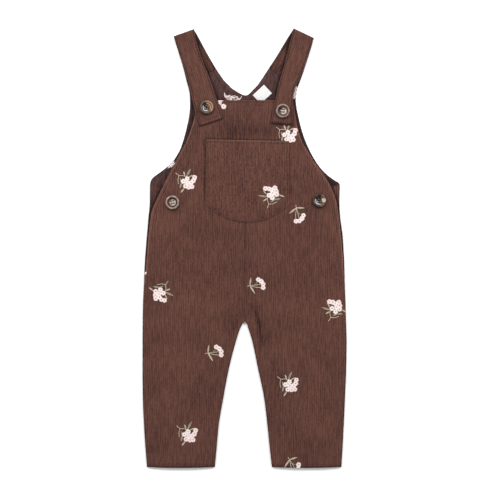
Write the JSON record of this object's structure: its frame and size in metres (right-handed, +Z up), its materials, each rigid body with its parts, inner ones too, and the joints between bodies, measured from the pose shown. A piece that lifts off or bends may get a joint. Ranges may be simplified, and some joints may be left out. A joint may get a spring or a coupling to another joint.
{
  "type": "toddler overalls",
  "caption": "Toddler bib overalls in fine corduroy, laid flat with the front up, with a round pocket, folded straps and buttoned sides.",
  "frame": {"origin": "on the surface the overalls lie on, under the middle of their outline", "axes": "+X to the viewer's right with the front up, +Y from the hems to the shoulders, +Z up off the surface"},
  "size_m": [0.2494, 0.536, 0.0115],
  "materials": {
    "corduroy": "fine brown corduroy",
    "label_satin": "plain white satin",
    "button": "polished dark tortoiseshell"
  },
  "bodies": {
    "root": {"front_left": "corduroy", "front_right": "corduroy", "back_left": "corduroy", "back_right": "corduroy", "button_stand_left": "corduroy", "button_stand_right": "corduroy", "strap_left": "corduroy", "strap_right": "corduroy", "pocket": "corduroy", "neck_label": "label_satin", "button_strap_left": "button", "button_strap_right": "button", "button_side_left": "button", "button_side_right": "button"}
  },
  "joints": []
}
